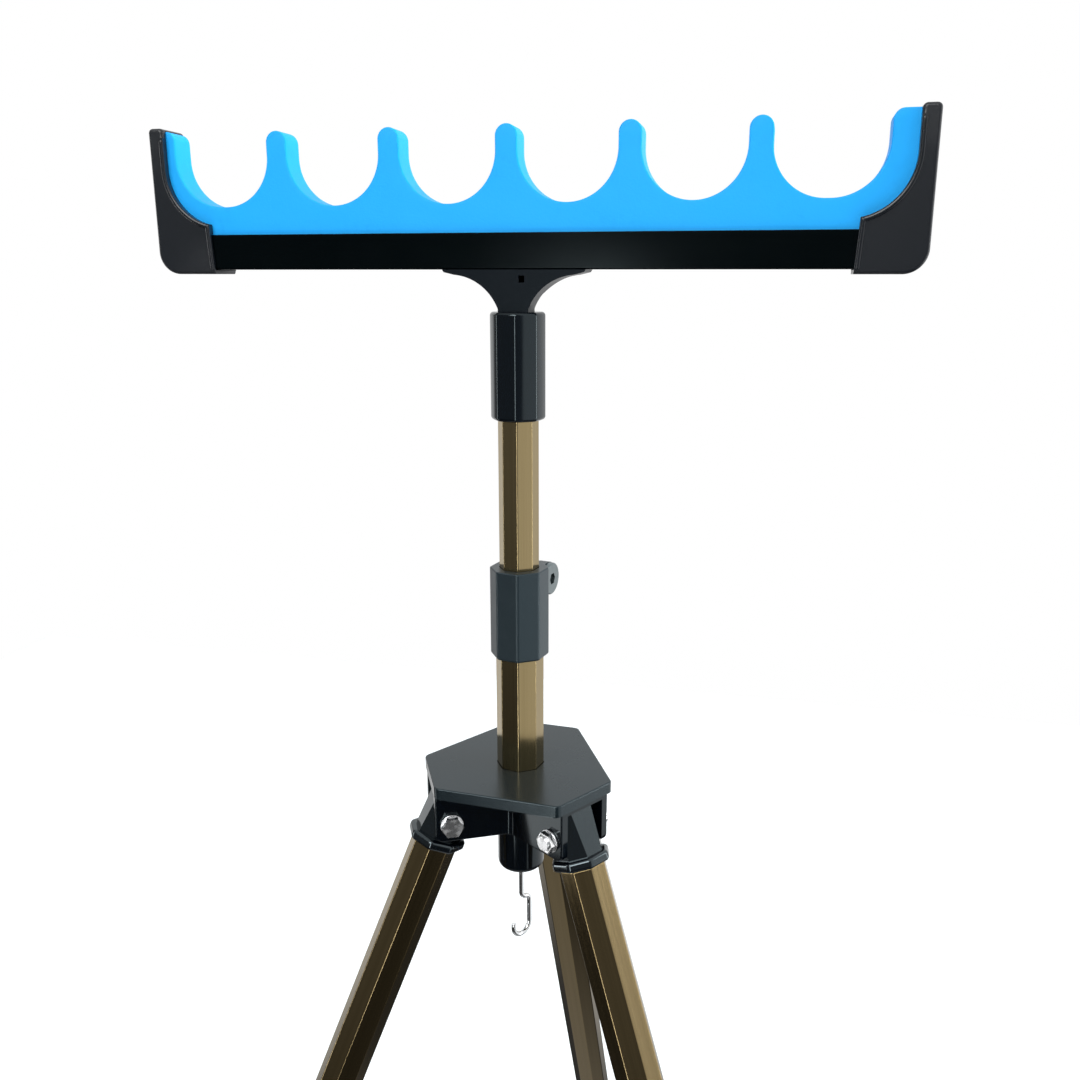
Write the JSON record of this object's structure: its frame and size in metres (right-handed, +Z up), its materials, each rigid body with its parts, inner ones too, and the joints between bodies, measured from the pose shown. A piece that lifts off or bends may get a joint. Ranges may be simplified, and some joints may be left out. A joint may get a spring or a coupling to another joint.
{
  "type": "rod rest tripod",
  "caption": "Telescoping tripod with splayed legs, a hexagonal hub, a clamped mast and a swivelling foam rest with round notches for holding fishing rods.",
  "frame": {"origin": "on the floor under the mast, in the plane of the three soles", "axes": "+Z up the mast, X along the foam rest, -Y towards the side seen in the picture"},
  "size_m": [0.6522, 0.5883, 1.1481],
  "materials": {
    "plate": "satin black powder coat",
    "casting": "glossy black moulding",
    "zinc": "bright zinc",
    "anodised": "bronze anodised",
    "clamp": "matte blue black",
    "socket": "glossy black",
    "channel": "glossy black",
    "foam": "closed cell foam, azure blue",
    "cap": "satin charcoal",
    "guide": "black nylon",
    "rubber": "matte black rubber"
  },
  "bodies": {
    "hub": {"hub_plate": "plate", "hub_spider": "casting", "hub_screws": "zinc", "hinge_bolts": "zinc", "hinge_washers": "zinc", "hinge_nuts": "zinc", "ballast_hook": "zinc", "hook_nut": "zinc", "mast_lower_tube": "anodised", "mast_collar": "clamp", "mast_clamp_bolt": "zinc"},
    "mast": {"mast_upper_tube": "anodised", "mast_guide_plug": "guide", "head_socket": "socket"},
    "head": {"head_bracket": "socket", "swivel_washer": "zinc", "swivel_nut": "zinc", "rail_screws": "zinc", "rest_channel": "channel", "foam_rest": "foam", "end_cap_left": "cap", "end_cap_right": "cap"},
    "mast_wing": {"mast_wing_nut": "clamp"},
    "leg_left": {"leg_left_head": "casting", "leg_left_upper_tube": "anodised", "leg_left_collar": "clamp", "leg_left_clamp_bolt": "zinc"},
    "leg_left_tip": {"leg_left_lower_tube": "anodised", "leg_left_guide_plug": "guide", "leg_left_foot": "rubber"},
    "leg_left_wing": {"leg_left_wing_nut": "clamp"},
    "leg_right": {"leg_right_head": "casting", "leg_right_upper_tube": "anodised", "leg_right_collar": "clamp", "leg_right_clamp_bolt": "zinc"},
    "leg_right_tip": {"leg_right_lower_tube": "anodised", "leg_right_guide_plug": "guide", "leg_right_foot": "rubber"},
    "leg_right_wing": {"leg_right_wing_nut": "clamp"},
    "leg_rear": {"leg_rear_head": "casting", "leg_rear_upper_tube": "anodised", "leg_rear_collar": "clamp", "leg_rear_clamp_bolt": "zinc"},
    "leg_rear_tip": {"leg_rear_lower_tube": "anodised", "leg_rear_guide_plug": "guide", "leg_rear_foot": "rubber"},
    "leg_rear_wing": {"leg_rear_wing_nut": "clamp"}
  },
  "joints": [
    {"name": "mast_slide", "type": "slide", "parent": "hub", "child": "mast", "axis": [0, 0, 1], "range_m": [-0.07, 0.04]},
    {"name": "head_swivel", "type": "hinge", "parent": "mast", "child": "head", "pos_m": [0, 0, 1.0761], "axis": [0, 0, 1], "continuous": true},
    {"name": "mast_wing_turn", "type": "hinge", "parent": "hub", "child": "mast_wing", "pos_m": [0.00488, 0.02248, 0.9056], "axis": [-0.9772, 0.2122, 0], "continuous": true},
    {"name": "leg_left_fold", "type": "hinge", "parent": "hub", "child": "leg_left", "pos_m": [-0.03884, -0.01937, 0.775], "axis": [0.4462, -0.8949, 0], "range_deg": [0, 22]},
    {"name": "leg_left_slide", "type": "slide", "parent": "leg_left", "child": "leg_left_tip", "axis": [-0.3352, -0.1671, -0.9272], "range_m": [-0.27, 0.06]},
    {"name": "leg_left_wing_turn", "type": "hinge", "parent": "leg_left", "child": "leg_left_wing", "pos_m": [-0.22018, -0.10978, 0.33486], "axis": [0.4462, -0.8949, 0], "continuous": true},
    {"name": "leg_right_fold", "type": "hinge", "parent": "hub", "child": "leg_right", "pos_m": [0.03619, -0.02395, 0.775], "axis": [0.5519, 0.8339, 0], "range_deg": [0, 22]},
    {"name": "leg_right_slide", "type": "slide", "parent": "leg_right", "child": "leg_right_tip", "axis": [0.3124, -0.2068, -0.9272], "range_m": [-0.27, 0.06]},
    {"name": "leg_right_wing_turn", "type": "hinge", "parent": "leg_right", "child": "leg_right_wing", "pos_m": [0.20516, -0.1358, 0.33486], "axis": [0.5519, 0.8339, 0], "continuous": true},
    {"name": "leg_rear_fold", "type": "hinge", "parent": "hub", "child": "leg_rear", "pos_m": [0.00265, 0.04332, 0.775], "axis": [-0.9981, 0.061, 0], "range_deg": [0, 22]},
    {"name": "leg_rear_slide", "type": "slide", "parent": "leg_rear", "child": "leg_rear_tip", "axis": [0.0229, 0.3739, -0.9272], "range_m": [-0.27, 0.06]},
    {"name": "leg_rear_wing_turn", "type": "hinge", "parent": "leg_rear", "child": "leg_rear_wing", "pos_m": [0.01502, 0.24558, 0.33486], "axis": [-0.9981, 0.061, 0], "continuous": true}
  ]
}
